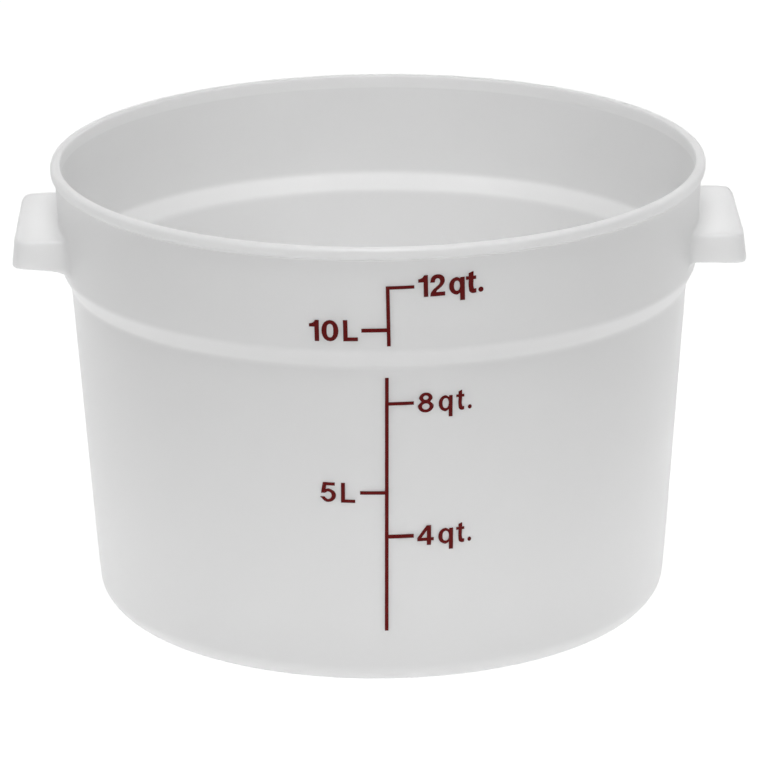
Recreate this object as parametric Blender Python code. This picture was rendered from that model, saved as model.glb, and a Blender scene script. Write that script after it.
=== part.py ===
# A round food storage container: one moulded shell, with a printed fill scale on its front.
# Lengths are in metres. Z is up, the handles point along +X and -X, and the scale faces -Y.
# The origin is the middle of the foot, on the surface that the container stands on.

import math

import bmesh
import bpy
from mathutils import Matrix, Vector

# Body of the shell
RIM_RADIUS = 0.1528  # outside of the rim bead
HEIGHT = 0.2128
WALL = 0.0028
SHOULDER_DROP = 0.0531  # from the top of the rim down to the middle of the sloped step in the wall
SHOULDER_TALL = 0.008
SHOULDER_STEP = 0.0037  # how much narrower the wall is below the step
SHOULDER_ROUND = 0.005
UPPER_LEAN = 0.0021  # inward lean of the wall from bead to step
LOWER_LEAN = 0.0115  # inward lean of the wall from step to foot

# Rim
BEAD_PROUD = 0.0024
BEAD_HEIGHT = 0.0056
BEAD_ROUND = 0.0019
BEAD_FILLET = 0.0012
LIP_ROUND = 0.0012  # inner edge of the rim

# Floor and foot
FLOOR = 0.0032
FLOOR_RISE = 0.004  # the middle of the floor stands above the foot
FLOOR_SLOPE = 0.006
FOOT_WIDTH = 0.010
BASE_FILLET = 0.017

# Handles, each a hood that is open underneath
HANDLE_PAST_RIM = 0.0156  # reach of the top of the hood past the rim bead
HANDLE_LENGTH = 0.0814
HANDLE_DROP = 0.0283  # from the top of the rim down to the top of the hood
HANDLE_DEPTH = 0.0129
HANDLE_WALL = 0.0026
HANDLE_CORNER = 0.007
HANDLE_BEND = 0.003
HANDLE_FLARE = 0.0013  # the open edge of the hood is wider by this, all round

# Printed scale
INK = 0.0003
INK_CLEARANCE = 0.0003
LINE_WIDTH = 0.0013
TICK_LENGTH = 0.0118  # from the middle of the line
LABEL_CLEARANCE = 0.002
LABEL_SIZE = 0.0136
LABEL_WELD = 0.00005  # closer points in a figure's outline become one
UPPER_LINE_ASIDE = 0.0026
LOWER_LINE_ASIDE = 0.0012

# Heights on the scale, as shares of the stretch of wall above or below the step
MARK_12QT_SHARE = 0.692
MARK_10L_SHARE = 0.239
UPPER_LINE_LOW_SHARE = 0.065
LOWER_LINE_HIGH_SHARE = 0.968
MARK_8QT_SHARE = 0.888
MARK_5L_SHARE = 0.614
MARK_4QT_SHARE = 0.477
LOWER_LINE_LOW_SHARE = 0.181

SEGMENTS = 72
CORNER_STEPS = 4
BEND_STEPS = 3
TICK_STEPS = 3
FONT_STEPS = 3
OVERRUN = 0.004
WELD = 0.000002
SMOOTH_ANGLE = math.radians(32)

SHOULDER_LOW = HEIGHT - SHOULDER_DROP - SHOULDER_TALL / 2
SHOULDER_HIGH = HEIGHT - SHOULDER_DROP + SHOULDER_TALL / 2
BEAD_LOW = HEIGHT - BEAD_HEIGHT
TOP_RADIUS = RIM_RADIUS - BEAD_PROUD
UPPER_RADIUS = TOP_RADIUS - UPPER_LEAN
LOWER_RADIUS = UPPER_RADIUS - SHOULDER_STEP
BASE_RADIUS = LOWER_RADIUS - LOWER_LEAN


def clear_scene():
    for found in list(bpy.data.objects):
        bpy.data.objects.remove(found, do_unlink=True)


def plastic(name, colour, roughness):
    material = bpy.data.materials.new(name)
    material.use_nodes = True
    shader = material.node_tree.nodes["Principled BSDF"]
    shader.inputs["Base Color"].default_value = (*colour, 1.0)
    shader.inputs["Roughness"].default_value = roughness
    shader.inputs["Metallic"].default_value = 0.0
    return material


def finished(name, bm, material=None):
    # Turns a bmesh into an object with its faces pointing out.
    bmesh.ops.remove_doubles(bm, verts=bm.verts, dist=WELD)
    bmesh.ops.recalc_face_normals(bm, faces=bm.faces)
    mesh = bpy.data.meshes.new(name)
    bm.to_mesh(mesh)
    bm.free()
    mesh.shade_smooth()
    mesh.set_sharp_from_angle(angle=SMOOTH_ANGLE)
    made = bpy.data.objects.new(name, mesh)
    bpy.context.scene.collection.objects.link(made)
    if material:
        mesh.materials.append(material)
    return made


def hidden(helper):
    helper.hide_render = True
    helper.display_type = "WIRE"
    return helper


def combined(target, helper, operation):
    step = target.modifiers.new(f"{operation.lower()}_{helper.name}", "BOOLEAN")
    step.operation = operation
    step.solver = "EXACT"
    step.object = helper


def wall_radius(height):
    # Outside radius of the wall at a height, before its corners are rounded.
    if height <= SHOULDER_LOW:
        return BASE_RADIUS + LOWER_LEAN * height / SHOULDER_LOW
    if height <= SHOULDER_HIGH:
        return LOWER_RADIUS + SHOULDER_STEP * (height - SHOULDER_LOW) / SHOULDER_TALL
    return UPPER_RADIUS + UPPER_LEAN * (height - SHOULDER_HIGH) / (BEAD_LOW - SHOULDER_HIGH)


def rounded(corners):
    # Points along a profile. A corner is its radius, height, fillet and number of steps.
    points = []
    for index, (radius, height, fillet, steps) in enumerate(corners):
        here = Vector((radius, height))
        if not fillet:
            points.append(here)
            continue
        before = (Vector(corners[index - 1][:2]) - here).normalized()
        after = (Vector(corners[index + 1][:2]) - here).normalized()
        half = before.angle(after) / 2
        centre = here + (before + after).normalized() * fillet / math.sin(half)
        start = here + before * fillet / math.tan(half) - centre
        end = here + after * fillet / math.tan(half) - centre
        sweep = math.atan2(start.cross(end), start.dot(end))
        points += [centre + Matrix.Rotation(sweep * step / steps, 2) @ start for step in range(steps + 1)]
    return points


def shell_profile():
    # Runs from the axis over the inside, round the rim and down the outside to the axis.
    foot_inside = BASE_RADIUS - BASE_FILLET - FOOT_WIDTH
    middle = foot_inside - FLOOR_SLOPE
    return rounded(
        [
            (0, FLOOR_RISE + FLOOR, 0, 0),
            (middle, FLOOR_RISE + FLOOR, 0, 0),
            (foot_inside, FLOOR, 0, 0),
            (wall_radius(FLOOR) - WALL, FLOOR, BASE_FILLET - WALL, 6),
            (LOWER_RADIUS - WALL, SHOULDER_LOW, SHOULDER_ROUND, 3),
            (UPPER_RADIUS - WALL, SHOULDER_HIGH, SHOULDER_ROUND, 3),
            (TOP_RADIUS - WALL, HEIGHT, LIP_ROUND, 2),
            (RIM_RADIUS, HEIGHT, BEAD_ROUND, 3),
            (RIM_RADIUS, BEAD_LOW, BEAD_ROUND, 3),
            (TOP_RADIUS, BEAD_LOW, BEAD_FILLET, 2),
            (UPPER_RADIUS, SHOULDER_HIGH, SHOULDER_ROUND, 3),
            (LOWER_RADIUS, SHOULDER_LOW, SHOULDER_ROUND, 3),
            (BASE_RADIUS, 0, BASE_FILLET, 8),
            (foot_inside, 0, 0, 0),
            (middle, FLOOR_RISE, 0, 0),
            (0, FLOOR_RISE, 0, 0),
        ]
    )


def turned(name, profile, material=None):
    bm = bmesh.new()
    verts = [bm.verts.new((point.x, 0, point.y)) for point in profile]
    edges = [bm.edges.new(pair) for pair in zip(verts, verts[1:])]
    bmesh.ops.spin(
        bm,
        geom=verts + edges,
        cent=(0, 0, 0),
        axis=(0, 0, 1),
        angle=math.tau,
        steps=SEGMENTS,
        use_merge=True,
    )
    return finished(name, bm, material)


def wall_core():
    # Fills the shell out to the middle of its wall, so that a hood ends inside the wall.
    levels = (BEAD_LOW, SHOULDER_HIGH, SHOULDER_LOW, 0)
    middle = [Vector((wall_radius(level) - WALL / 2, level)) for level in levels]
    return hidden(turned("wall_core", [Vector((0, BEAD_LOW)), *middle, Vector((0, 0))]))


def hood_outline(grow, height, turn):
    # A handle in plan: square at its root, with two round outer corners.
    half = HANDLE_LENGTH / 2 + grow
    corner = HANDLE_CORNER + grow
    reach = RIM_RADIUS + HANDLE_PAST_RIM + grow
    root = math.sqrt((UPPER_RADIUS - WALL) ** 2 - (HANDLE_LENGTH / 2 + HANDLE_FLARE) ** 2) - OVERRUN
    points = [Vector((root, -half, height))]
    for side in (-1, 1):
        centre = Vector((reach - corner, side * (half - corner), height))
        for step in range(CORNER_STEPS + 1):
            angle = math.pi / 2 * (step / CORNER_STEPS - (side < 0))
            points.append(centre + Vector((math.cos(angle), math.sin(angle), 0)) * corner)
    points.append(Vector((root, half, height)))
    return [Matrix.Rotation(turn, 3, "Z") @ point for point in points]


def hood_block(name, inset, bottom, turn):
    # The hood's outer form at inset 0, and its hollow at an inset of the hood's wall.
    top = HEIGHT - HANDLE_DROP - inset
    bend = HANDLE_BEND - inset / 2
    lip = HEIGHT - HANDLE_DROP - HANDLE_DEPTH
    slope = HANDLE_FLARE / (HANDLE_DEPTH - HANDLE_BEND)
    outlines = [hood_outline((lip - bottom) * slope + HANDLE_FLARE - inset, bottom, turn)]
    for step in range(BEND_STEPS + 1):
        angle = math.pi / 2 * step / BEND_STEPS
        grow = bend * (math.cos(angle) - 1) - inset
        outlines.append(hood_outline(grow, top - bend * (1 - math.sin(angle)), turn))
    bm = bmesh.new()
    loops = []
    for outline in outlines:
        verts = [bm.verts.new(point) for point in outline]
        loops.append([bm.edges.new((verts[index - 1], verts[index])) for index in range(len(verts))])
    for low, high in zip(loops, loops[1:]):
        bmesh.ops.bridge_loops(bm, edges=low + high)
    for end in (loops[0], loops[-1]):
        bmesh.ops.edgeloop_fill(bm, edges=end)
    return hidden(finished(name, bm))


def hood(side, turn, core):
    lip = HEIGHT - HANDLE_DROP - HANDLE_DEPTH
    made = hood_block(f"hood_{side}", 0, lip, turn)
    combined(made, hood_block(f"hollow_{side}", HANDLE_WALL, lip - OVERRUN, turn), "DIFFERENCE")
    combined(made, core, "DIFFERENCE")
    return made


def container_shell(material):
    shell = turned("container_shell", shell_profile(), material)
    core = wall_core()
    combined(shell, hood("right", 0, core), "UNION")
    combined(shell, hood("left", math.pi, core), "UNION")


def upper_level(share):
    return SHOULDER_HIGH + share * (BEAD_LOW - SHOULDER_HIGH)


def lower_level(share):
    return share * SHOULDER_LOW


def inked(name, bm, aside, height, material):
    # Gives a flat shape the ink's thickness and wraps it round the wall.
    # Its x runs along the wall from the front, shifted by aside, and its y runs up from height.
    bmesh.ops.remove_doubles(bm, verts=bm.verts, dist=WELD)
    raised = bmesh.ops.extrude_face_region(bm, geom=bm.faces[:], use_keep_orig=True)["geom"]
    for vert in [item for item in raised if isinstance(item, bmesh.types.BMVert)]:
        vert.co.z = INK
    radius = wall_radius(height)
    for vert in bm.verts:
        angle = (vert.co.x + aside) / radius
        level = height + vert.co.y
        reach = wall_radius(level) + INK_CLEARANCE + vert.co.z
        vert.co = Vector((reach * math.sin(angle), -reach * math.cos(angle), level))
    finished(name, bm, material)


def scale_line(name, low, high, ticks, aside, material):
    # A line up the wall from low to high, with a tick at each of the marks' heights.
    # A tick's side is 1 to the right of the line and -1 to the left.
    half = LINE_WIDTH / 2
    cuts = {low, high}
    for level, _ in ticks:
        cuts |= {level - half, level + half}
    cuts = sorted(cuts)
    bm = bmesh.new()

    def cell(left, right, bottom, top):
        corners = ((left, bottom), (right, bottom), (right, top), (left, top))
        bm.faces.new([bm.verts.new((x, y - low, 0)) for x, y in corners])

    for bottom, top in zip(cuts, cuts[1:]):
        cell(-half, half, bottom, top)
    for level, side in ticks:
        for step in range(TICK_STEPS):
            ends = [side * (half + (TICK_LENGTH - half) * (step + end) / TICK_STEPS) for end in (0, 1)]
            cell(min(ends), max(ends), level - half, level + half)
    inked(name, bm, aside, low, material)


def label_outlines(text):
    # The flat outline of each character of a label, from left to right.
    curve = bpy.data.curves.new("label", "FONT")
    curve.body = text
    curve.size = LABEL_SIZE
    curve.resolution_u = FONT_STEPS
    curve.fill_mode = "FRONT"
    words = bpy.data.objects.new("label", curve)
    bpy.context.scene.collection.objects.link(words)
    mesh = bpy.data.meshes.new_from_object(words.evaluated_get(bpy.context.evaluated_depsgraph_get()))
    bpy.data.objects.remove(words, do_unlink=True)
    whole = bmesh.new()
    whole.from_mesh(mesh)
    bmesh.ops.remove_doubles(whole, verts=whole.verts, dist=LABEL_WELD)
    bmesh.ops.dissolve_degenerate(whole, dist=WELD, edges=whole.edges)
    bmesh.ops.triangulate(whole, faces=whole.faces, quad_method="BEAUTY", ngon_method="BEAUTY")
    bmesh.ops.beautify_fill(whole, faces=whole.faces, edges=whole.edges)
    outlines = []
    left = set(whole.faces)
    while left:
        found = {left.pop()}
        edge_on = set(found)
        while edge_on:
            edge_on = {near for face in edge_on for edge in face.edges for near in edge.link_faces} - found
            found |= edge_on
        left -= found
        outlines.append([[vert.co.copy() for vert in face.verts] for face in found])
    whole.free()
    return sorted(outlines, key=lambda faces: min(point.x for face in faces for point in face))


def label(text, level, side, line_aside, material):
    # A label beside its tick, with its figures level with the tick.
    outlines = label_outlines(text)
    points = [point for faces in outlines for face in faces for point in face]
    figure = [point.y for face in outlines[0] for point in face]
    near_edge = min(point.x for point in points) if side > 0 else max(point.x for point in points)
    shift = Vector((side * (TICK_LENGTH + LABEL_CLEARANCE) - near_edge, -(min(figure) + max(figure)) / 2, 0))
    place = text.strip(".")
    for character, faces in zip(text, outlines):
        bm = bmesh.new()
        for face in faces:
            bm.faces.new([bm.verts.new(point + shift) for point in face])
        kind = "point" if character == "." else character
        inked(f"label_{place}_{kind}", bm, line_aside, level, material)


def printed_scale(material):
    # Each mark is its label, its height and the side of the line that it stands on.
    upper_marks = [("12qt.", upper_level(MARK_12QT_SHARE), 1), ("10L", upper_level(MARK_10L_SHARE), -1)]
    lower_marks = [
        ("8qt.", lower_level(MARK_8QT_SHARE), 1),
        ("5L", lower_level(MARK_5L_SHARE), -1),
        ("4qt.", lower_level(MARK_4QT_SHARE), 1),
    ]
    upper_ends = (upper_level(UPPER_LINE_LOW_SHARE), upper_level(MARK_12QT_SHARE) + LINE_WIDTH / 2)
    lower_ends = (lower_level(LOWER_LINE_LOW_SHARE), lower_level(LOWER_LINE_HIGH_SHARE))
    for place, ends, marks, aside in (
        ("upper", upper_ends, upper_marks, UPPER_LINE_ASIDE),
        ("lower", lower_ends, lower_marks, LOWER_LINE_ASIDE),
    ):
        ticks = [(level, side) for _, level, side in marks]
        scale_line(f"scale_line_{place}", *ends, ticks, aside, material)
        for text, level, side in marks:
            label(text, level, side, aside, material)


clear_scene()
container_shell(plastic("natural_polyethylene", (0.84, 0.85, 0.86), 0.42))
printed_scale(plastic("scale_ink", (0.33, 0.02, 0.02), 0.5))
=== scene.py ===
import math

import bmesh
import bpy
from mathutils import Matrix, Vector
from mathutils.bvhtree import BVHTree


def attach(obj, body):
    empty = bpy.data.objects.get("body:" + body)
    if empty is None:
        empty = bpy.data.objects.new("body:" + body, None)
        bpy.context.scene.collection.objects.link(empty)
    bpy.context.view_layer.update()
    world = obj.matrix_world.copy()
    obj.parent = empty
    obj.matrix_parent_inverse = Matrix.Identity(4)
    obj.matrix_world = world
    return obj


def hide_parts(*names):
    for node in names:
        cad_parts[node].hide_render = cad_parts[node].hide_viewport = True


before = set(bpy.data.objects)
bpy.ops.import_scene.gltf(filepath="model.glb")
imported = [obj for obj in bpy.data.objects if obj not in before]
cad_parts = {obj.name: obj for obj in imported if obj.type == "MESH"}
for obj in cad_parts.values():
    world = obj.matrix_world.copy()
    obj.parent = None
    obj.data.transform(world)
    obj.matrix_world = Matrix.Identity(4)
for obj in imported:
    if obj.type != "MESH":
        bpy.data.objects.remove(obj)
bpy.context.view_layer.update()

print("frame loaded, nodes:", len(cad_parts))


# Materials

plasticLook = {
    "palest": (0.87, 0.87, 0.87, 1),
    "deepest": (0.85, 0.85, 0.85, 1),
    # each pattern's scale and detail
    "clouds": (9, 3),
    "sheen": (34, 4),
    "waves": (26, 1),
    "grain": (1300, 2),
    "roughest": 0.42,
    "smoothest": 0.32,
    # each bump's depth and strength
    "waveBump": (0.0004, 0.35),
    "grainBump": (0.00006, 0.5),
    "refraction": 1.51,
    "depthOfLight": 0.010,
    "amountOfLight": 1,
    # painted light: the plastic's colour is paler at the step and the bead, by height, and in the hoods,
    # by distance to
    #     # either side, standing in for light that falls there
    "paintedLightColour": (0.97, 0.97, 0.97, 1),
    "paintedLightAt": {0.1542: 0, 0.1567: 1, 0.1630: 1, 0.1655: 0, 0.2066: 0, 0.2072: 0.8},
    "paintedLightAside": {0.1440: 0, 0.1600: 0.7},
}

inkLook = {
    "thick": (0.100, 0.0034, 0.0030, 1),
    "thin": (0.145, 0.0056, 0.0050, 1),
    "mesh": (900, 3),
    "meshBump": (0.00002, 0.6),
    "roughness": 0.6,
    "shine": 0.12,
}

# the part of a noise's range that its values mostly fall in
noiseRange = (0.3, 0.7)


def newMaterial(name):
    material = bpy.data.materials.new(name)
    material.use_nodes = True
    return material, material.node_tree.nodes, material.node_tree.links


def noise(nodes, links, place, pattern):
    scale, detail = pattern
    texture = nodes.new("ShaderNodeTexNoise")
    texture.inputs["Scale"].default_value = scale
    texture.inputs["Detail"].default_value = detail
    links.new(place.outputs["Object"], texture.inputs["Vector"])
    return texture.outputs["Fac"]


def spread(nodes, links, source, low, high):
    ranged = nodes.new("ShaderNodeMapRange")
    ranged.inputs["From Min"].default_value = noiseRange[0]
    ranged.inputs["From Max"].default_value = noiseRange[1]
    ranged.inputs["To Min"].default_value = low
    ranged.inputs["To Max"].default_value = high
    links.new(source, ranged.inputs["Value"])
    return ranged.outputs["Result"]


def blendColours(nodes, links, source, first, second):
    ramp = nodes.new("ShaderNodeValToRGB")
    for stop, position, colour in zip(ramp.color_ramp.elements, noiseRange, (first, second)):
        stop.position = position
        stop.color = colour
    links.new(source, ramp.inputs["Fac"])
    return ramp.outputs["Color"]


def rampAlong(nodes, links, measure, levels, brightest=1):
    # a level at each value of a measure
    farthest = max(levels)
    share = nodes.new("ShaderNodeMapRange")
    share.inputs["From Max"].default_value = farthest
    links.new(measure, share.inputs["Value"])
    ramp = nodes.new("ShaderNodeValToRGB")
    stops = ramp.color_ramp.elements
    stops.remove(stops[0])
    for number, (place, level) in enumerate(levels.items()):
        stop = stops.new(place / farthest) if number else stops[0]
        stop.position = place / farthest
        stop.color = [level / brightest] * 3 + [1]
    links.new(share.outputs["Result"], ramp.inputs["Fac"])
    return ramp


def raised(nodes, links, height, shape, below=None):
    depth, strength = shape
    bump = nodes.new("ShaderNodeBump")
    bump.inputs["Distance"].default_value = depth
    bump.inputs["Strength"].default_value = strength
    links.new(height, bump.inputs["Height"])
    if below:
        links.new(below, bump.inputs["Normal"])
    return bump.outputs["Normal"]


def naturalPolyethylene(look):
    material, nodes, links = newMaterial("naturalPolyethylene")
    surface = nodes["Principled BSDF"]
    place = nodes.new("ShaderNodeTexCoord")
    clouds, sheen, waves, grain = (noise(nodes, links, place, look[pattern])
                                   for pattern in ("clouds", "sheen", "waves", "grain"))
    colour = blendColours(nodes, links, clouds, look["deepest"], look["palest"])
    split = nodes.new("ShaderNodeSeparateXYZ")
    links.new(place.outputs["Object"], split.inputs["Vector"])
    aside = nodes.new("ShaderNodeMath")
    aside.operation = "ABSOLUTE"
    links.new(split.outputs["X"], aside.inputs[0])
    # painted light: how much of the paler colour goes in, by height and by distance aside
    paintedLightShare = nodes.new("ShaderNodeMath")
    paintedLightShare.operation = "MAXIMUM"
    measures = [(split.outputs["Z"], look["paintedLightAt"]), (aside.outputs["Value"], look["paintedLightAside"])]
    for number, (measure, levels) in enumerate(measures):
        links.new(rampAlong(nodes, links, measure, levels).outputs["Color"], paintedLightShare.inputs[number])
    # mixes the paler colour of painted light into the plastic's own colour
    paintedLightMix = nodes.new("ShaderNodeMix")
    paintedLightMix.data_type = "RGBA"
    links.new(paintedLightShare.outputs["Value"], paintedLightMix.inputs["Factor"])
    links.new(colour, paintedLightMix.inputs["A"])
    paintedLightMix.inputs["B"].default_value = look["paintedLightColour"]
    links.new(paintedLightMix.outputs["Result"], surface.inputs["Base Color"])
    roughness = spread(nodes, links, sheen, look["smoothest"], look["roughest"])
    links.new(roughness, surface.inputs["Roughness"])
    wavy = raised(nodes, links, waves, look["waveBump"])
    links.new(raised(nodes, links, grain, look["grainBump"], wavy), surface.inputs["Normal"])
    surface.inputs["IOR"].default_value = look["refraction"]
    surface.inputs["Subsurface Weight"].default_value = look["amountOfLight"]
    surface.inputs["Subsurface Scale"].default_value = look["depthOfLight"]
    surface.inputs["Subsurface Radius"].default_value = (1, 1, 1)
    return material


def fillScaleInk(look):
    material, nodes, links = newMaterial("fillScaleInk")
    surface = nodes["Principled BSDF"]
    place = nodes.new("ShaderNodeTexCoord")
    mesh = noise(nodes, links, place, look["mesh"])
    colour = blendColours(nodes, links, mesh, look["thick"], look["thin"])
    links.new(colour, surface.inputs["Base Color"])
    links.new(raised(nodes, links, mesh, look["meshBump"]), surface.inputs["Normal"])
    surface.inputs["Roughness"].default_value = look["roughness"]
    surface.inputs["Specular IOR Level"].default_value = look["shine"]
    return material


plastic = naturalPolyethylene(plasticLook)
ink = fillScaleInk(inkLook)
print("materials made")


# The shell: a spun wall, with a hood drawn out of it on each side

shell = {
    "turns": 64,
    "subdivisions": 2,
    "weld": 0.000002,
    "near": 0.00001,
    # radius, height, radius of the rounded corner and its steps, from the inside of the floor
    # over the rim to the underside
    "profile": [
        (0.1001, 0.0072, 0.006, 2),
        (0.1061, 0.0032, 0.006, 2),
        (0.13092, 0.0032, 0.0106, 5),
        (0.1412, 0.1557, 0.005, 2),
        (0.1455, 0.1637, 0.005, 2),
        (0.1476, 0.2128, 0.0012, 2),
        (0.1524, 0.2128, 0.0019, 3),
        (0.1524, 0.2072, 0.0019, 3),
        (0.1504, 0.2072, 0.0012, 2),
        (0.14943, 0.1871, 0, 0),
        (0.149135, 0.1810, 0, 0),
        (0.148821, 0.1745, 0, 0),
        (0.148556, 0.1690, 0, 0),
        (0.1483, 0.1637, 0.005, 2),
        (0.1440, 0.1557, 0.005, 2),
        (0.1335, 0, 0.0134, 6),
        (0.1061, 0, 0.006, 2),
        (0.1001, 0.004, 0.006, 2),
    ],
    "floorMiddle": 0.0072,
    "underMiddle": 0.004,
    # radius and height of the upper wall's outside, at its low and its high end
    "upperWall": ((0.1483, 0.1637), (0.1504, 0.2072)),
    # what lies beyond this radius at the upper wall is its outside
    "outsideFrom": 0.1475,
}

handle = {
    "wallColumns": 3,
    # where the points' columns begin, in degrees round from the hood's middle, and their rows, by height
    "columnsFrom": (2.8, 8.4, 12.8, 15.0),
    "rowsFrom": (0.1730, 0.1778, 0.1828),
    "hollowColumns": 3,
    "edgeColumn": 0.037,
    "edgeNear": 0.001,
    "cutNear": 0.000001,
    "bandLow": 0.1690,
    "bandHigh": 0.1871,
    "margin": 0.0026,
    "root": 0.003,
    "endRoot": 0.0056,
    # the wall's own points beside the hood's ends
    "beside": 0.0475,
    "below": 0.1656,
    # height of the lip by step out from the wall, on the right (1) and on the left (-1)
    "lip": {1: (0.1716, 0.1716, 0.1710, 0.1706), -1: (0.1716, 0.1716, 0.1720, 0.1721)},
    # the left hood's lip sweeps down into the wall at both ends, by step
    "sweep": {1: {}, -1: {0: 0.1680, 1: 0.1712}},
    # how much higher each hood's top stands
    "lift": {1: 0.0005, -1: 0.0009},
    "reach": 0.1684,
    "flare": 0.0013,
    "top": 0.1845,
    "bend": 0.003,
    # height of each row of the hood, with the hollow's rows below zero
    "heights": {0: 0.1716, 1: 0.1728, 2: 0.1810, 3: 0.1845, -1: 0.1728, -2: 0.1796, -3: 0.1819},
    # distance aside of each column, by step out from the wall
    "aside": {
        0: (0, 0.0150, 0.0302, 0.0396, 0.0422),
        1: (0, 0.0150, 0.0302, 0.0396, 0.0422),
        2: (0, 0.0150, 0.0296, 0.0384, 0.0422),
        3: (0, 0.0150, 0.0275, 0.0356, 0.0404),
    },
    # how far each column stops short of the full reach, by step
    "short": {2: (0.0026, 0.0026, 0.0026, 0.0042, 0.0065), 3: (0, 0, 0, 0, 0.0018)},
    # the same along the top, where the bend needs more room
    "topAside": {0: 0.0390, 1: 0.0390, 2: 0.0382, 3: 0.0356},
    "topShort": {2: (0.0042, 0.0042, 0.0042, 0.0055, 0.0065), 3: (0, 0, 0, 0, 0.0018)},
}

turnStep = math.tau / shell["turns"]
roundUp = 3 / (2 + math.cos(turnStep))  # subdivision draws a ring in by this factor


def wallRadius(height):
    # outside of the upper wall, where the handles stand
    low, high = (Vector(end) for end in shell["upperWall"])
    return roundUp * (low.x + (high.x - low.x) * (height - low.y) / (high.y - low.y))


def cornerCut(before, here, after, radius):
    # distance from a corner to where its rounding starts
    turn = (here - before).angle(after - here)
    return radius * math.tan(turn / 2)


def spunShell():
    profile = shell["profile"]
    points = [Vector((0, shell["floorMiddle"]))]
    points += [Vector(corner[:2]) for corner in profile]
    points += [Vector((0, shell["underMiddle"]))]
    bm = bmesh.new()
    chain = [bm.verts.new((point.x, 0, point.y)) for point in points]
    edges = [bm.edges.new(pair) for pair in zip(chain, chain[1:])]
    bmesh.ops.spin(bm, geom=chain + edges, axis=(0, 0, 1), cent=(0, 0, 0), angle=math.tau,
                   steps=shell["turns"], use_merge=True)
    bmesh.ops.remove_doubles(bm, verts=bm.verts, dist=shell["weld"])
    for index, (radius, height, rounding, steps) in enumerate(profile, 1):
        if rounding:
            cut = cornerCut(*points[index - 1:index + 2], rounding)
            ring = [edge for edge in bm.edges if all(
                abs(math.hypot(vert.co.x, vert.co.y) - radius) < shell["near"]
                and abs(vert.co.z - height) < shell["near"] for vert in edge.verts)]
            bmesh.ops.bevel(bm, geom=ring, offset=cut, offset_type="OFFSET", segments=steps,
                            profile=0.5, affect="EDGES", material=-1)
    for vert in bm.verts:
        vert.co.x *= roundUp
        vert.co.y *= roundUp
    return bm


def bandFaces(bm, side):
    # faces of the wall's band that the hood grows from
    widest = turnStep * handle["wallColumns"]
    found = []
    for face in bm.faces:
        middle = face.calc_center_median()
        if (handle["bandLow"] < middle.z < handle["bandHigh"]
                and math.hypot(middle.x, middle.y) > shell["outsideFrom"]
                and abs(math.atan2(middle.y, side * middle.x)) < widest):
            found.append(face)
    return found


def onWall(vert, side, aside, height):
    # puts a point on the outside of the upper wall
    out = math.sqrt(wallRadius(height) ** 2 - aside ** 2)
    vert.co = Vector((side * out, math.copysign(aside, vert.co.y), height))


def placeHood(vert, side, layers):
    column, row, step = (vert[layer] for layer in layers)
    step -= 1
    height = handle["heights"][row]
    if row in (0, 1, -1):
        height += handle["lip"][side][step] - handle["heights"][0]
    else:
        height += handle["lift"][side]
    across = abs(column)
    aside = handle["aside"][step][across]
    if row == 3 and across == 3:
        aside = handle["topAside"][step]
    bendLow = handle["top"] - handle["bend"]
    belowBend = (bendLow - height) / (bendLow - handle["heights"][0])
    flare = handle["flare"] * min(1, max(0, belowBend))
    aside *= 1 + flare / handle["aside"][0][4]
    if row == 0 and across > 2:
        height = handle["sweep"][side].get(step, height)
    wall = math.sqrt(wallRadius(height) ** 2 - aside ** 2)
    if step == 0:
        out = wall
    elif step == 1:
        out = wall + handle["endRoot" if across > 2 else "root"]
    else:
        short = handle["topShort" if row == 3 else "short"][step][across]
        out = handle["reach"] + flare - short
    vert.co = Vector((side * out, math.copysign(aside, column) if column else 0, height))


def drawnOut(bm, faces):
    # extrudes faces and takes away the ones they came from
    made = bmesh.ops.extrude_face_region(bm, geom=faces)["geom"]
    bmesh.ops.delete(bm, geom=faces, context="FACES")
    return [item for item in made if isinstance(item, bmesh.types.BMFace)]


def corners(faces):
    return {vert for face in faces for vert in face.verts}


def drawHandle(bm, side, layers):
    for aside in (-handle["edgeColumn"], handle["edgeColumn"]):
        band = bandFaces(bm, side)
        edges = {edge for face in band for edge in face.edges}
        bmesh.ops.bisect_plane(bm, geom=[*band, *edges, *corners(band)], dist=handle["cutNear"],
                               plane_co=(0, aside, 0), plane_no=(0, 1, 0))
    band = bandFaces(bm, side)
    for vert in corners(band):
        onWall(vert, side, abs(vert.co.y), vert.co.z)
    inset = bmesh.ops.inset_region(bm, faces=band, thickness=handle["margin"], use_even_offset=True)
    for vert in corners(band):
        turn = math.degrees(math.atan2(vert.co.y, side * vert.co.x))
        column = sum(abs(turn) > limit for limit in handle["columnsFrom"])
        vert[layers[0]] = column if turn > 0 else -column
        vert[layers[1]] = sum(vert.co.z > limit for limit in handle["rowsFrom"])
        vert[layers[2]] = 1
        placeHood(vert, side, layers)
    for vert in corners(inset["faces"]) - corners(band):
        if abs(vert.co.y) > handle["edgeColumn"] - handle["edgeNear"]:
            aside = abs(vert.co.y)
            if aside > handle["edgeColumn"] + handle["edgeNear"]:
                aside = handle["beside"]
            low = vert.co.z < handle["bandLow"] + handle["edgeNear"]
            onWall(vert, side, aside, handle["below"] if low else vert.co.z)
    for step in (2, 3, 4):
        band = drawnOut(bm, band)
        for vert in corners(band):
            vert[layers[2]] = step
            placeHood(vert, side, layers)


def hollowHandle(bm, side, layers):
    # sinks the hollow into the faces under the hood
    under = [face for face in bm.faces if all(
        side * vert.co.x > 0 and abs(vert[layers[0]]) <= handle["hollowColumns"] and vert[layers[1]] == 0
        and vert[layers[2]] in (1, 2, 3) for vert in face.verts)]
    for row in (-1, -2, -3):
        under = drawnOut(bm, under)
        for vert in corners(under):
            vert[layers[1]] = row
            placeHood(vert, side, layers)


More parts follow.
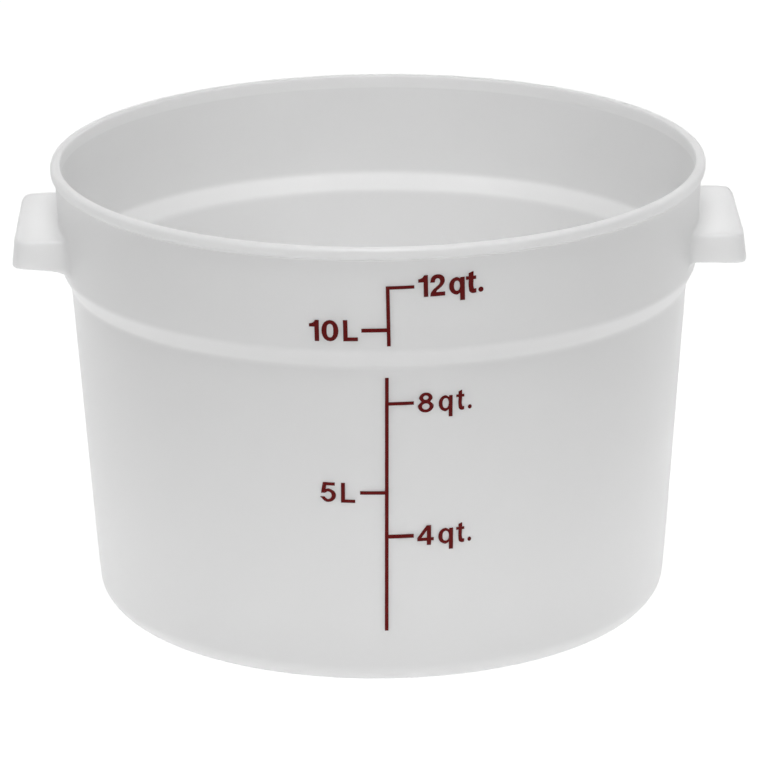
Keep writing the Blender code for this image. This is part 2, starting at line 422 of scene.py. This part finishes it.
def finished(name, bm, material):
    bmesh.ops.remove_doubles(bm, verts=bm.verts, dist=shell["weld"])
    bmesh.ops.recalc_face_normals(bm, faces=bm.faces)
    mesh = bpy.data.meshes.new(name)
    bm.to_mesh(mesh)
    bm.free()
    mesh.materials.append(material)
    piece = bpy.data.objects.new(name, mesh)
    bpy.context.scene.collection.objects.link(piece)
    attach(piece, "root")
    return piece


def containerShell():
    bm = spunShell()
    for name in ("column", "row", "step"):
        bm.verts.layers.int.new(name)
    # each point's place in a hood: its column, its row and its step out from the wall
    layers = [bm.verts.layers.int.get(name) for name in ("column", "row", "step")]
    for side in (1, -1):
        drawHandle(bm, side, layers)
        hollowHandle(bm, side, layers)
    for name in ("column", "row", "step"):
        bm.verts.layers.int.remove(bm.verts.layers.int.get(name))
    piece = finished("containerShell", bm, plastic)
    piece.data.shade_smooth()
    smooth = piece.modifiers.new("smooth", "SUBSURF")
    smooth.levels = smooth.render_levels = shell["subdivisions"]
    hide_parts("container_shell")
    return piece


tub = containerShell()
print("shell made, faces:", len(tub.data.polygons))


# The printed scale

# Outlines of the figures, a cap height tall: x, y and whether the line bends there
figures = {
    "1": [[(0, .70, 0), (0, .82, 0), (.19, .88, 1), (.29, 1, 0), (.44, 1, 0), (.44, 0, 0), (.26, 0, 0),
           (.26, .70, 0)]],
    "2": [[(.01, .66, 0), (.09, .90, 1), (.32, 1, 1), (.56, .91, 1), (.63, .71, 1), (.56, .52, 1),
           (.40, .36, 1), (.26, .24, 1), (.23, .155, 0), (.64, .155, 0), (.64, 0, 0), (0, 0, 0),
           (.03, .14, 1), (.13, .29, 1), (.30, .43, 1), (.42, .56, 1), (.455, .70, 1), (.41, .81, 1),
           (.32, .85, 1), (.22, .80, 1), (.18, .66, 0)]],
    "0": [[(.33, 1, 1), (.66, .5, 1), (.33, 0, 1), (0, .5, 1)],
          [(.33, .85, 1), (.175, .5, 1), (.33, .15, 1), (.485, .5, 1)]],
    "8": [[(.33, 1, 1), (.61, .76, 1), (.51, .545, 0), (.66, .29, 1), (.33, 0, 1), (0, .29, 1),
           (.15, .545, 0), (.05, .76, 1)],
          [(.33, .86, 1), (.21, .745, 1), (.33, .63, 1), (.45, .745, 1)],
          [(.33, .46, 1), (.165, .30, 1), (.33, .14, 1), (.495, .30, 1)]],
    "5": [[(.11, 1, 0), (.60, 1, 0), (.60, .85, 0), (.24, .85, 0), (.22, .65, 0), (.37, .68, 1),
           (.65, .34, 1), (.32, 0, 1), (0, .26, 0), (.17, .27, 0), (.33, .14, 1), (.48, .335, 1),
           (.34, .54, 1), (.19, .46, 0), (.04, .46, 0)]],
    "4": [[(.38, 1, 0), (.55, 1, 0), (.55, .37, 0), (.66, .37, 0), (.66, .22, 0), (.55, .22, 0),
           (.55, 0, 0), (.39, 0, 0), (.39, .22, 0), (0, .22, 0), (0, .38, 0)],
          [(.39, .37, 0), (.15, .37, 0), (.39, .77, 0)]],
    "q": [[(.47, .77, 0), (.62, .77, 0), (.62, -.30, 0), (.455, -.30, 0), (.455, .08, 0), (.27, -.01, 1),
           (0, .39, 1), (.27, .79, 1), (.46, .69, 0)],
          [(.31, .65, 1), (.165, .39, 1), (.31, .13, 1), (.455, .39, 1)]],
    "t": [[(.11, .92, 0), (.275, .99, 0), (.275, .77, 0), (.38, .77, 0), (.38, .64, 0), (.275, .64, 0),
           (.275, .22, 1), (.31, .15, 1), (.38, .15, 0), (.38, -.01, 0), (.27, -.025, 1), (.15, .04, 1),
           (.11, .20, 1), (.11, .64, 0), (0, .64, 0), (0, .77, 0), (.11, .77, 0)]],
    "L": [[(0, 1, 0), (.165, 1, 0), (.165, .15, 0), (.62, .15, 0), (.62, 0, 0), (0, 0, 0)]],
    ".": [[(.09, .20, 1), (.19, .095, 1), (.09, -.01, 1), (-.01, .095, 1)]],
}

printing = {
    "film": 0.00005,
    "sunk": 0.00001,
    "weld": 0.0000005,
    # the cells that a flat shape is cut into: their width along x (0) and their height along z (2)
    "cell": {0: 0.001, 2: 0.004},
    # how many straight pieces there are between two knots of an outline
    "pieces": 5,
    "lineWidth": 0.00165,
    # each line: how far aside it stands, its low and high ends, its lean to the right at the top,
    # how far its ticks rise to the right, the cone's length to its tip, and each tick's height,
    # length and thickness
    "lines": {
        "upper": {
            "aside": 0.00235,
            "low": 0.16688,
            "high": 0.19495,
            "lean": -0.013,
            "tilt": 0.0141,
            "tip": 3.1,
            "ticks": [(0.19424, 0.0117, 0.0017), (0.17449, -0.012, 0.0018)],
        },
        "lower": {
            "aside": 0.00107,
            "low": 0.02808,
            "high": 0.15083,
            "lean": 0.0081,
            "tilt": 0.0054,
            "tip": 1.95,
            "ticks": [(0.13835, 0.01201, 0.0016), (0.09562, -0.01191, 0.0017), (0.07428, 0.01212, 0.0019)],
        },
    },
    # each label: its line, its height, its cap height, its added weight, its tilt, and its characters
    # with their left and right ends, in millimetres from the line
    "labels": {
        "12qt": ("upper", 0.19426, 0.01012, 0.00020, 0.0128,
                 [("1", 13.45, 17.75), ("2", 18.6, 25.25), ("q", 27, 33.95), ("t", 34.5, 39.01),
                  (".", 39.9, 42.2)]),
        "10L": ("upper", 0.17481, 0.00993, 0.00018, 0.0343,
                [("1", -34.96, -30.6), ("0", -29.5, -22.05), ("L", -20, -13.55)]),
        "8qt": ("lower", 0.13827, 0.00951, 0.00005, 0.0037,
                [("8", 13.76, 20.82), ("q", 23.02, 29.23), ("t", 30.83, 34.43), (".", 36.05, 37.8)]),
        "5L": ("lower", 0.09554, 0.00962, 0.00006, 0.007,
               [("5", -29.83, -22.62), ("L", -20.42, -14.06)]),
        "4qt": ("lower", 0.07415, 0.00962, 0.00007, 0.0041,
                [("4", 13.67, 21.13), ("q", 23.13, 29.79), ("t", 31.19, 34.84), (".", 36.3, 38)]),
    },
}

# how a character's nodes are called, where not by the character
nodeEnds = {".": "point"}


def flatFigure(character, weight):
    # a figure's filled outlines, thickened by a weight
    curve = bpy.data.curves.new("figure", "CURVE")
    curve.dimensions = "2D"
    curve.fill_mode = "FRONT"
    curve.resolution_u = printing["pieces"]
    curve.offset = weight
    for outline in figures[character]:
        spline = curve.splines.new("BEZIER")
        spline.bezier_points.add(len(outline) - 1)
        spline.use_cyclic_u = True
        for knot, (x, y, bends) in zip(spline.bezier_points, outline):
            knot.co = (x, y, 0)
            knot.handle_left_type = knot.handle_right_type = "AUTO" if bends else "VECTOR"
    return curve


def flatMesh(curve):
    holder = bpy.data.objects.new("figure", curve)
    bpy.context.scene.collection.objects.link(holder)
    bpy.context.view_layer.update()
    evaluated = holder.evaluated_get(bpy.context.evaluated_depsgraph_get())
    mesh = bpy.data.meshes.new_from_object(evaluated)
    bpy.data.objects.remove(holder, do_unlink=True)
    return mesh


def cellsAcross(bm):
    # cuts a flat shape into narrow cells, so that it can follow the wall
    for axis, cell in printing["cell"].items():
        places = [vert.co[axis] for vert in bm.verts]
        low, high = min(places), max(places)
        cells = math.ceil((high - low) / cell)
        for number in range(1, cells):
            point, direction = Vector(), Vector()
            point[axis] = low + (high - low) * number / cells
            direction[axis] = 1
            bmesh.ops.bisect_plane(bm, geom=[*bm.faces, *bm.edges, *bm.verts], dist=printing["weld"],
                                   plane_co=point, plane_no=direction)


def printed(name, bm, line, tilt, wall, node):
    # lays a flat shape on the wall, as a film of ink. Its x runs from the line and its z is a height.
    bmesh.ops.remove_doubles(bm, verts=bm.verts, dist=printing["weld"])
    bmesh.ops.dissolve_degenerate(bm, dist=printing["weld"], edges=bm.edges)
    cellsAcross(bm)
    bmesh.ops.triangulate(bm, faces=bm.faces)
    grown = bmesh.ops.extrude_face_region(bm, geom=bm.faces[:], use_keep_orig=True)["geom"]
    front = {item for item in grown if isinstance(item, bmesh.types.BMVert)}
    middle = (line["low"] + line["high"]) / 2
    for vert in bm.verts:
        height = vert.co.z + vert.co.x ** 2 / (2 * line["tip"]) + tilt * vert.co.x
        across = line["aside"] + vert.co.x + line["lean"] * (height - middle)
        hit = wall.ray_cast(Vector((across, -1, height)), Vector((0, 1, 0)))[0]
        outward = Vector((hit.x, hit.y, 0)).normalized()
        vert.co = hit + outward * (printing["film"] if vert in front else -printing["sunk"])
    piece = finished(name, bm, ink)
    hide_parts(node)


def barOn(bm, left, right, low, high):
    ends = [(left, low), (right, low), (right, high), (left, high)]
    bm.faces.new([bm.verts.new((x, 0, z)) for x, z in ends])


def printLine(place, wall):
    line = printing["lines"][place]
    half = printing["lineWidth"] / 2
    bm = bmesh.new()
    ticks = [(length, level - thickness / 2, min(level + thickness / 2, line["high"]))
             for level, length, thickness in line["ticks"]]
    levels = sorted({line["low"], line["high"], *(level for tick in ticks for level in tick[1:])})
    for low, high in zip(levels, levels[1:]):
        barOn(bm, -half, half, low, high)
    for length, low, high in ticks:
        left, right = sorted((math.copysign(half, length), length))
        barOn(bm, left, right, low, high)
    printed(f"ink_line_{place}", bm, line, line["tilt"], wall, f"scale_line_{place}")


def printLabel(text, wall):
    place, level, cap, weight, tilt, characters = printing["labels"][text]
    tall = cap / (1 + 2 * weight / cap)
    for character, left, right in characters:
        mesh = flatMesh(flatFigure(character, weight / cap))
        bm = bmesh.new()
        bm.from_mesh(mesh)
        bpy.data.meshes.remove(mesh)
        places = [vert.co.x for vert in bm.verts]
        start = min(places)
        scale = (right - left) / 1000 / (max(places) - start)
        for vert in bm.verts:
            across = left / 1000 + (vert.co.x - start) * scale
            vert.co = Vector((across, 0, level + (vert.co.y - 0.5) * tall))
        end = nodeEnds.get(character, character)
        printed(f"ink_{text}_{end}", bm, printing["lines"][place], tilt, wall, f"label_{text}_{end}")


wall = BVHTree.FromObject(tub, bpy.context.evaluated_depsgraph_get())
for place in printing["lines"]:
    printLine(place, wall)
for text in printing["labels"]:
    printLabel(text, wall)
print("scale printed")


# Floor, light and camera

studio = {
    "floorSize": 30,
    "floorShade": (0.5, 0.5, 0.5, 1),
    "floorShown": 0.8,
    # light from the table itself, by distance from the tub's middle; it is lower close to the tub's foot,
    # a painted shadow where the tub shades the table
    "glow": {0.13: 0.5, 0.2: 0.85, 0.7: 0.01},
    # the sky's brightness along the horizon, from behind the camera (0) round to behind the tub (1)
    "horizon": {0: 0.25, 0.5: 0.2, 0.8: 1.7, 1: 0.9},
    "zenith": 0.02,
    "brightest": 4,
    # each lamp's place, width and power, aimed at the tub's foot
    "lamps": {
        "highLamp": ((0, -0.7, 2.1), 0.8, 19),
        "leftLamp": ((-1.1, -1.35, 1.3), 0.8, 4.4),
        "rightLamp": ((1.1, -1.35, 1.3), 0.8, 4.4),
    },
}

# Where the camera stands, in metres and radians, with its focal length and the picture's width in
# pixels and its sensor's width in millimetres
viewpoint = {
    "distance": 2.350015,
    "above": 0.314673,
    "focal": 4976.998,
    "tiltMore": 0.0019474,
    "turnMore": 0.0005357,
    "roll": -0.0091063,
    "around": math.radians(-0.6),
    "aim": 0.1064,
    "picture": 765,
    "sensor": 36,
    "farthest": 100,
}


def shownToCamera(nodes, links):
    # 1 for what the eye meets, straight or in a reflection
    path = nodes.new("ShaderNodeLightPath")
    total = path.outputs["Is Camera Ray"]
    for name in ("Is Glossy Ray", "Is Transmission Ray"):
        highest = nodes.new("ShaderNodeMath")
        highest.operation = "MAXIMUM"
        links.new(total, highest.inputs[0])
        links.new(path.outputs[name], highest.inputs[1])
        total = highest.outputs["Value"]
    return total


def makeFloor():
    bm = bmesh.new()
    bmesh.ops.create_grid(bm, x_segments=1, y_segments=1, size=studio["floorSize"])
    mesh = bpy.data.meshes.new("floor")
    bm.to_mesh(mesh)
    bm.free()
    material, nodes, links = newMaterial("paleFloor")
    nodes.remove(nodes["Principled BSDF"])
    matte = nodes.new("ShaderNodeBsdfDiffuse")
    matte.inputs["Color"].default_value = studio["floorShade"]
    lift = nodes.new("ShaderNodeEmission")
    place = nodes.new("ShaderNodeTexCoord")
    away = nodes.new("ShaderNodeVectorMath")
    away.operation = "LENGTH"
    links.new(place.outputs["Object"], away.inputs[0])
    glow = rampAlong(nodes, links, away.outputs["Value"], studio["glow"])
    glow.color_ramp.interpolation = "EASE"
    amount = nodes.new("ShaderNodeMapRange")
    links.new(glow.outputs["Color"], amount.inputs["To Min"])
    amount.inputs["To Max"].default_value = studio["floorShown"]
    links.new(shownToCamera(nodes, links), amount.inputs["Value"])
    links.new(amount.outputs["Result"], lift.inputs["Strength"])
    both = nodes.new("ShaderNodeAddShader")
    links.new(matte.outputs["BSDF"], both.inputs[0])
    links.new(lift.outputs["Emission"], both.inputs[1])
    links.new(both.outputs["Shader"], nodes["Material Output"].inputs["Surface"])
    mesh.materials.append(material)
    floor = bpy.data.objects.new("floor", mesh)
    bpy.context.scene.collection.objects.link(floor)


def makeLight():
    world = bpy.data.worlds.new("studioWorld")
    bpy.context.scene.world = world
    world.use_nodes = True
    nodes, links = world.node_tree.nodes, world.node_tree.links
    place = nodes.new("ShaderNodeTexCoord")
    split = nodes.new("ShaderNodeSeparateXYZ")
    links.new(place.outputs["Generated"], split.inputs["Vector"])
    turned = nodes.new("ShaderNodeMapRange")
    turned.inputs["From Min"].default_value = -1
    links.new(split.outputs["Y"], turned.inputs["Value"])
    ramp = rampAlong(nodes, links, turned.outputs["Result"], studio["horizon"], studio["brightest"])
    raisedTo = nodes.new("ShaderNodeMix")
    raisedTo.data_type = "RGBA"
    links.new(split.outputs["Z"], raisedTo.inputs["Factor"])
    links.new(ramp.outputs["Color"], raisedTo.inputs["A"])
    raisedTo.inputs["B"].default_value = [studio["zenith"] / studio["brightest"]] * 3 + [1]
    sky = nodes["Background"]
    sky.inputs["Strength"].default_value = studio["brightest"]
    links.new(raisedTo.outputs["Result"], sky.inputs["Color"])
    white = nodes.new("ShaderNodeBackground")
    white.inputs["Color"].default_value = (1, 1, 1, 1)
    choose = nodes.new("ShaderNodeMixShader")
    links.new(shownToCamera(nodes, links), choose.inputs["Fac"])
    links.new(sky.outputs["Background"], choose.inputs[1])
    links.new(white.outputs["Background"], choose.inputs[2])
    links.new(choose.outputs["Shader"], nodes["World Output"].inputs["Surface"])
    for name, (place, size, power) in studio["lamps"].items():
        lamp = bpy.data.lights.new(name, "AREA")
        lamp.shape = "DISK"
        lamp.size = size
        lamp.energy = power
        holder = bpy.data.objects.new(name, lamp)
        holder.location = place
        holder.rotation_euler = (-holder.location).to_track_quat("-Z", "Y").to_euler()
        bpy.context.scene.collection.objects.link(holder)


def makeCamera():
    above, roll = viewpoint["above"], viewpoint["roll"]
    tilt, turn = above + viewpoint["tiltMore"], viewpoint["turnMore"]
    eye = Vector((0, -math.cos(above), math.sin(above))) * viewpoint["distance"]
    eye.z += viewpoint["aim"]
    ahead = Vector((math.sin(turn) * math.cos(tilt), math.cos(turn) * math.cos(tilt), -math.sin(tilt)))
    right = Vector((math.cos(turn), -math.sin(turn), 0))
    up = right.cross(ahead)
    rolledRight = right * math.cos(roll) + up * math.sin(roll)
    rolledUp = up * math.cos(roll) - right * math.sin(roll)
    facing = Matrix((rolledRight, rolledUp, -ahead)).transposed().to_4x4()
    lens = bpy.data.cameras.new("photoCamera")
    lens.sensor_width = viewpoint["sensor"]
    lens.lens = viewpoint["focal"] * lens.sensor_width / viewpoint["picture"]
    lens.clip_end = viewpoint["farthest"]
    camera = bpy.data.objects.new("photoCamera", lens)
    around = Matrix.Rotation(viewpoint["around"], 4, "Z")
    camera.matrix_world = around @ Matrix.Translation(eye) @ facing
    bpy.context.scene.collection.objects.link(camera)
    bpy.context.scene.camera = camera


makeFloor()
makeLight()
makeCamera()
bpy.context.scene.view_settings.view_transform = "Standard"
print("studio made")
